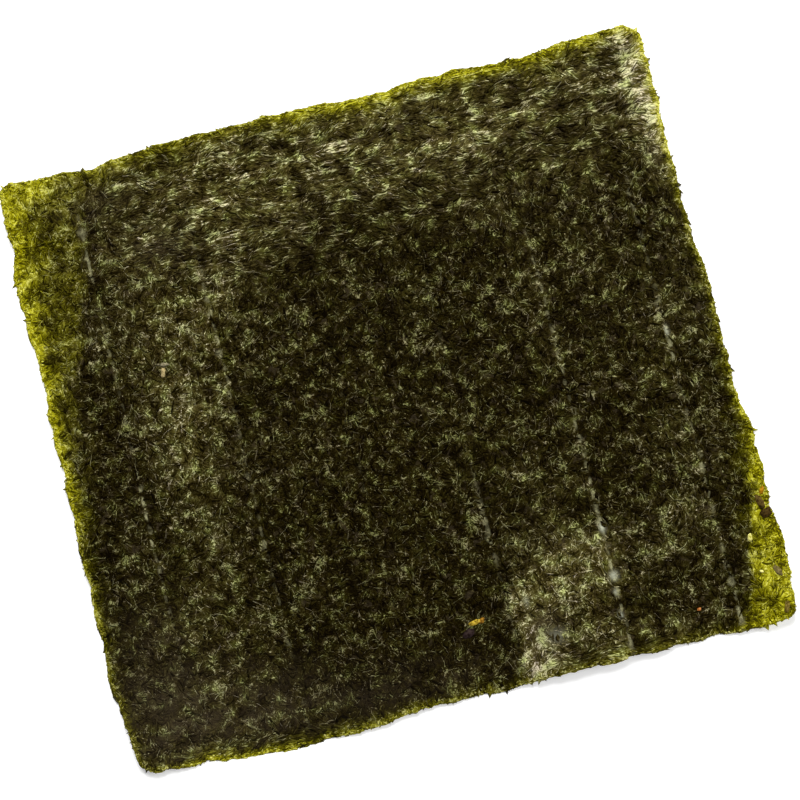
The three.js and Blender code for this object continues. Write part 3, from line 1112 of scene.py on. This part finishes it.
def make_scatter_tree():
    """Lays shreds on the leaf's upper face: bent strips, turned in bundles or along X where combed."""
    tree, given = group_tree(
        "scatter of shreds",
        {
            "Leaf": ("Geometry", None),
            "Shapes": ("Collection", None),
            "Material": ("Material", None),
            "Density": ("Float", 1e5),
            "Density map": ("String", "cover"),
            "Smallest": ("Vector", None),
            "Largest": ("Vector", None),
            "Tilt": ("Float", 0.2),
            "Lowest tone": ("Float", 0.0),
            "Highest tone": ("Float", 1.0),
            "Seed": ("Int", 1),
        },
        {"Shreds": "Geometry"},
        "GeometryNodeTree",
    )
    seed, tilt = given["Seed"], given["Tilt"]

    def named(name):
        return add(tree, "GeometryNodeInputNamedAttribute", {0: name}, data_type="FLOAT")[0]

    def turned(*angles):
        return add(tree, "FunctionNodeEulerToRotation", {0: xyz(tree, *angles)})[0]

    normal = add(tree, "ShaderNodeSeparateXYZ", {0: add(tree, "GeometryNodeInputNormal", {})[0]})
    spread = add(tree, "GeometryNodeDistributePointsOnFaces", {
        "Mesh": given["Leaf"],
        "Selection": calc(tree, "GREATER_THAN", normal[2], 0.5),
        "Density": given["Density"] * named(given["Density map"]),
        "Seed": seed,
    })
    place = add(tree, "GeometryNodeInputPosition", {})[0]
    bundle = noise(place, BUNDLE_SIZE * MM, 1.0, dimensions="3D")
    own_reach = math.radians(SHRED_SPREAD_DEGREES)
    own_turn = chance(seed + 11, -own_reach, own_reach)
    loose = calc(tree, "MULTIPLY_ADD", named("combed"), -COMBING, 1.0)
    heading = turned(0.0, 0.0, (own_turn + (bundle - 0.5) * BUNDLE_TURN) * loose)
    turns = {"Rotation": heading, "Vector": spread["Normal"]}
    upright = add(tree, "FunctionNodeAlignRotationToVector", turns, axis="Z")[0]
    back = tilt * -1.0
    tilted = turned(chance(seed + 23, back, tilt), chance(seed + 31, back, tilt) * 0.35)
    turns = {0: upright, 1: tilted}
    facing = add(tree, "FunctionNodeRotateRotation", turns, rotation_space="LOCAL")[0]
    own_map = {"Geometry": spread["Points"], "Name": BAKE_MAP}
    unmapped = add(tree, "GeometryNodeRemoveAttribute", own_map)[0]
    collection = add(tree, "GeometryNodeCollectionInfo", {
        "Collection": given["Shapes"],
        "Separate Children": True,
        "Reset Children": True,
    })
    strips = add(tree, "GeometryNodeInstanceOnPoints", {
        "Points": unmapped,
        "Instance": collection[0],
        "Pick Instance": True,
        "Instance Index": chance(seed + 53, 0, SHAPES_OF_A_KIND - 1, "INT"),
        "Rotation": facing,
        "Scale": chance(seed + 41, given["Smallest"], given["Largest"], "FLOAT_VECTOR"),
    })
    toned = add(tree, "GeometryNodeStoreNamedAttribute", {
        "Geometry": strips[0],
        "Name": "tone",
        "Value": chance(seed + 61, given["Lowest tone"], given["Highest tone"]),
    }, data_type="FLOAT", domain="INSTANCE")
    real = add(tree, "GeometryNodeRealizeInstances", {0: toned[0]})[0]
    dressed = {"Geometry": real, "Material": given["Material"]}
    add(tree, "NodeGroupOutput", {"Shreds": add(tree, "GeometryNodeSetMaterial", dressed)[0]})
    return tree


UNUSED_ON_SHREDS = "pressed", "bare", "cover", "inner", "fringe"


def spread_map(mesh, own_faces):
    """Gives each shred a cell of its own on the bake's map."""
    shred = np.arange(len(mesh.loops)) // (3 * own_faces)
    cells = math.ceil(math.sqrt(shred[-1] + 1))
    maps = np.empty(2 * len(mesh.loops))
    layer = mesh.uv_layers[BAKE_MAP].data
    layer.foreach_get("uv", maps)
    cell = np.stack([shred % cells, shred // cells], 1)
    layer.foreach_set("uv", ((cell + 0.1 + 0.8 * maps.reshape(-1, 2)) / cells).ravel())


def grown(name, mesh, tree, values):
    """The plain mesh that a node tree makes from a mesh, with the tree's inputs by name."""
    bed = placed(name + " bed", mesh)
    modifier = bed.modifiers.new("nodes", "NODES")
    modifier.node_group = tree
    for item in tree.interface.items_tree:
        if item.in_out == "INPUT" and item.name in values:
            modifier[item.identifier] = values[item.name]
    bpy.context.view_layer.update()
    evaluated = bed.evaluated_get(bpy.context.evaluated_depsgraph_get())
    made = bpy.data.meshes.new_from_object(evaluated)
    bpy.data.objects.remove(bed)
    made.name = name
    for vertex in made.vertices:
        vertex.co.z = max(vertex.co.z, 0)
    for unused in UNUSED_ON_SHREDS:
        made.attributes.remove(made.attributes[unused])
    spread_map(made, len(values["Shapes"].objects[0].data.polygons))
    return made


shred_material, tree, shader = new_material("laver shred")
own_tone = attribute(tree, "tone")
own_place = attribute(tree, "own_place", "Vector")
own_shift = xyz(tree, own_tone * 83.0, own_tone * 157.0)
across_folds = vector(tree, "MULTIPLY_ADD", own_place, (1.2, 2.6, 0), own_shift)
grain = noise(across_folds, 1, 1.0, 0.35)
patches = (use(patch_group, tree, Place=on_piece(tree))[0] - 0.5) * PATCH_STRENGTH
tone = own_tone + ranged(tree, grain, 0.36, 0.7, -0.24, 0.36) + (patches + wrinkled(tree))
feed(shader, {
    "Base Color": coloured(tree, tone, attribute(tree, "film")),
    "Roughness": ROUGHNESS,
    "Normal": bump(grain, 0.12 * MM, 0.7),
})

SHEET_AREA = 0.0405
scatter_tree = make_scatter_tree()
for name, (amount, lengths, widths, thick, tilt, tones, seed, is_thread) in SHRED_KINDS.items():
    shred_mesh = grown(name, leaf_mesh, scatter_tree, {
        "Shapes": threads if is_thread else shapes,
        "Material": shred_material,
        "Density": amount / SHEET_AREA,
        "Density map": "inner" if is_thread else "cover",
        "Smallest": (lengths[0] * MM, widths[0] * MM, thick * MM * 0.8),
        "Largest": (lengths[1] * MM, widths[1] * MM, thick * MM * 1.2),
        "Tilt": math.radians(tilt),
        "Lowest tone": tones[0],
        "Highest tone": tones[1],
        "Seed": seed,
    })
    shreds = placed(name, shred_mesh)
    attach(shreds, "root")

# The frayed edge: short shreds that stick out of the poured rim, where the leaf is thinnest.
FRINGE = {
    "Shapes": shapes,
    "Material": shred_material,
    "Density": 2.6e6,
    "Density map": "fringe",
    "Smallest": (0.8 * MM, 0.35 * MM, 0.07 * MM),
    "Largest": (1.7 * MM, 0.9 * MM, 0.1 * MM),
    "Tilt": math.radians(9),
    "Lowest tone": 0.1,
    "Highest tone": 0.95,
    "Seed": 77,
}
fringe = placed("edge_shreds", grown("edge_shreds", leaf_mesh, scatter_tree, FRINGE))
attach(fringe, "root")

# The specks: bits of shell, husk and red weed that came with the laver and dried in its upper face.

# Speck: place, length, width and turn on the sheet, how waisted, colour dark and pale.
SPECKS = {
    "shell chip": ((-68.0, 26.4), 3.2, 2.1, 76, 0.5, (98, 84, 48), (172, 154, 108)),
    "pale arc over the chip": ((-67.3, 28.9), 4.2, 0.9, -12, -0.3, (70, 64, 44), (140, 132, 104)),
    "ochre flake": ((9.4, -73.3), 3.8, 1.7, 8, 0.1, (96, 78, 4), (196, 166, 58)),
    "brown lobe of the flake": ((11.6, -73.3), 2.3, 1.5, 40, 0.0, (62, 38, 4), (150, 108, 34)),
    "mauve flake below": ((6.6, -76.2), 4.2, 2.8, 20, 0.1, (20, 12, 11), (48, 36, 36)),
    "red grain": ((77.7, -85.6), 1.3, 1.1, 10, 0.0, (120, 62, 20), (196, 128, 70)),
    "brown flake at the edge": ((103.9, -57.8), 4.6, 2.6, 105, 0.2, (44, 32, 10), (92, 74, 34)),
    "brown flake beside it": ((104.9, -61.6), 4.0, 3.2, 20, 0.1, (32, 22, 6), (70, 52, 22)),
    "orange flake at the edge": ((105.3, -54.6), 2.6, 1.5, 60, 0.1, (110, 74, 4), (178, 128, 20)),
    "cream flake": ((98.2, -67.9), 2.6, 1.6, 80, 0.2, (140, 136, 30), (222, 216, 128)),
    "cream grain": ((99.0, -78.7), 1.3, 0.8, -30, 0.0, (180, 174, 70), (232, 226, 140)),
    "grey flake at the edge": ((103.8, -79.6), 3.6, 1.9, 120, 0.1, (74, 66, 30), (122, 108, 66)),
    "brown flake at the corner": ((103.6, -90.9), 3.6, 2.0, 70, 0.3, (66, 54, 14), (128, 110, 50)),
}
SPECK_THICKNESS = 0.16 * MM
SPECK_LIFT = 0.07 * MM
SPECK_POINTS = 18
SPECK_ROUGHNESS = 0.12

upper_tree = BVHTree.FromPolygons(vertices.tolist(), faces.tolist())
speck_rng = np.random.default_rng(12)
angle = np.linspace(0, 2 * np.pi, SPECK_POINTS, endpoint=False)
at_waist = np.cos(angle * 2 + np.pi) ** 2 * (np.abs(np.sin(angle)) > 0.5)
speck_points, speck_faces, speck_tones = [], [], []
for (x, y), length, width, turn, waist, dark, pale in SPECKS.values():
    rough = 1 + speck_rng.uniform(-SPECK_ROUGHNESS, SPECK_ROUGHNESS, SPECK_POINTS)
    along = 0.5 * length * np.cos(angle) * rough
    across = 0.5 * width * np.sin(angle) * rough * (1 - waist * at_waist)
    c, s = math.cos(math.radians(turn)), math.sin(math.radians(turn))
    ring = np.stack([x + along * c - across * s, y + along * s + across * c], 1) * MM
    middle = np.array([[x, y]]) * MM
    hits = [upper_tree.ray_cast(Vector((*p, 1)), Vector((0, 0, -1)))[0] for p in (*ring, *middle)]
    height = np.array([hit.z if hit else 0 for hit in hits])
    height = np.where(height == 0, height[-1], height) + SPECK_LIFT
    first = len(speck_points)
    speck_points += [(*p, z + 0.6 * SPECK_THICKNESS) for p, z in zip(ring, height)]
    speck_points += [(*p, z) for p, z in zip(ring, height)]
    speck_points += [(*middle[0], height[-1] + SPECK_THICKNESS), (*middle[0], height[-1])]
    n, top, bottom = SPECK_POINTS, first + 2 * SPECK_POINTS, first + 2 * SPECK_POINTS + 1
    for i in range(n):
        a, b = first + i, first + (i + 1) % n
        speck_faces += [(a, b, top), (b + n, a + n, bottom), (a + n, b + n, b, a)]
        speck_tones += [(dark, pale)] * 3
speck_mesh = bpy.data.meshes.new("specks")
speck_mesh.from_pydata(speck_points, [], speck_faces)
for number, name in enumerate(("dark", "pale")):
    colours = speck_mesh.color_attributes.new(name, "FLOAT_COLOR", "CORNER")
    values = [linear(*tones[number]) for face, tones in zip(speck_faces, speck_tones) for _ in face]
    colours.data.foreach_set("color", np.ravel(values))
speck_mesh.shade_smooth()

speck_material, tree, shader = new_material("shell and husk")
mottle = noise(on_piece(tree), 0.7 * MM, 2.0, dimensions="3D")
share = ranged(tree, mottle, 0.35, 0.62)
dark, pale = (attribute(tree, name, "Color") for name in ("dark", "pale"))
feed(shader, {
    "Base Color": blend(tree, share, dark, pale),
    "Roughness": mottle * 0.3 + ROUGHNESS,
    "Normal": bump(mottle, 0.1 * MM, 0.6),
})
speck_mesh.materials.append(speck_material)
specks = placed("specks", speck_mesh)
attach(specks, "root")

# The floor and the light: a white table, a large soft lamp behind the sheet's upper side, a smaller one
# at its right, and a dim white room.
FLOOR_SIDE = 6.0
FLOOR_LOOK = {
    "Base Color": (0.9, 0.9, 0.9, 1.0),
    "Roughness": 0.9,
    "Specular IOR Level": 0.1,
    "Emission Color": (1, 1, 1, 1),
    "Emission Strength": 0.3,
}

floor_mesh = bpy.data.meshes.new("floor")
half = FLOOR_SIDE / 2
floor_corners = [(-half, -half, 0), (half, -half, 0), (half, half, 0), (-half, half, 0)]
floor_mesh.from_pydata(floor_corners, [], [(0, 1, 2, 3)])
floor_material = bpy.data.materials.new("white table")
floor_material.use_nodes = True
feed(floor_material.node_tree.nodes["Principled BSDF"], FLOOR_LOOK)
floor_mesh.materials.append(floor_material)
floor = placed("floor", floor_mesh)

# Each lamp: name, place and size in metres, and power in watts. It faces the sheet.
LAMPS = [
    ("soft lamp behind", (0.05, 0.75, 0.95), 0.6, 17.0),
    ("soft lamp at the right", (0.9, -0.1, 0.8), 0.6, 7.0),
]
for name, lamp_place, lamp_side, power in LAMPS:
    lamp = placed(name, bpy.data.lights.new(name, "AREA"))
    lamp.data.size = lamp_side
    lamp.data.energy = power
    facing = Vector(lamp_place).to_track_quat("Z", "Y")
    lamp.matrix_world = Matrix.Translation(Vector(lamp_place)) @ facing.to_matrix().to_4x4()

# The room is dark overhead, so that what lies flat looks dark from above: its light by height.
ROOM_LIGHT = [(0.0, 0.55), (0.5, 0.42), (0.86, 0.06), (1.0, 0.03)]
world = bpy.data.worlds.new("room")
world.use_nodes = True
room = world.node_tree
upward = add(room, "ShaderNodeSeparateXYZ", {0: add(room, "ShaderNodeTexCoord", {})["Generated"]})[2]
room_light = ladder(upward, ROOM_LIGHT, lambda light: (light, light, light, 1))
feed(room.nodes["Background"], {"Color": room_light, "Strength": 1.0})
bpy.context.scene.world = world
bpy.context.scene.view_settings.view_transform = "Standard"
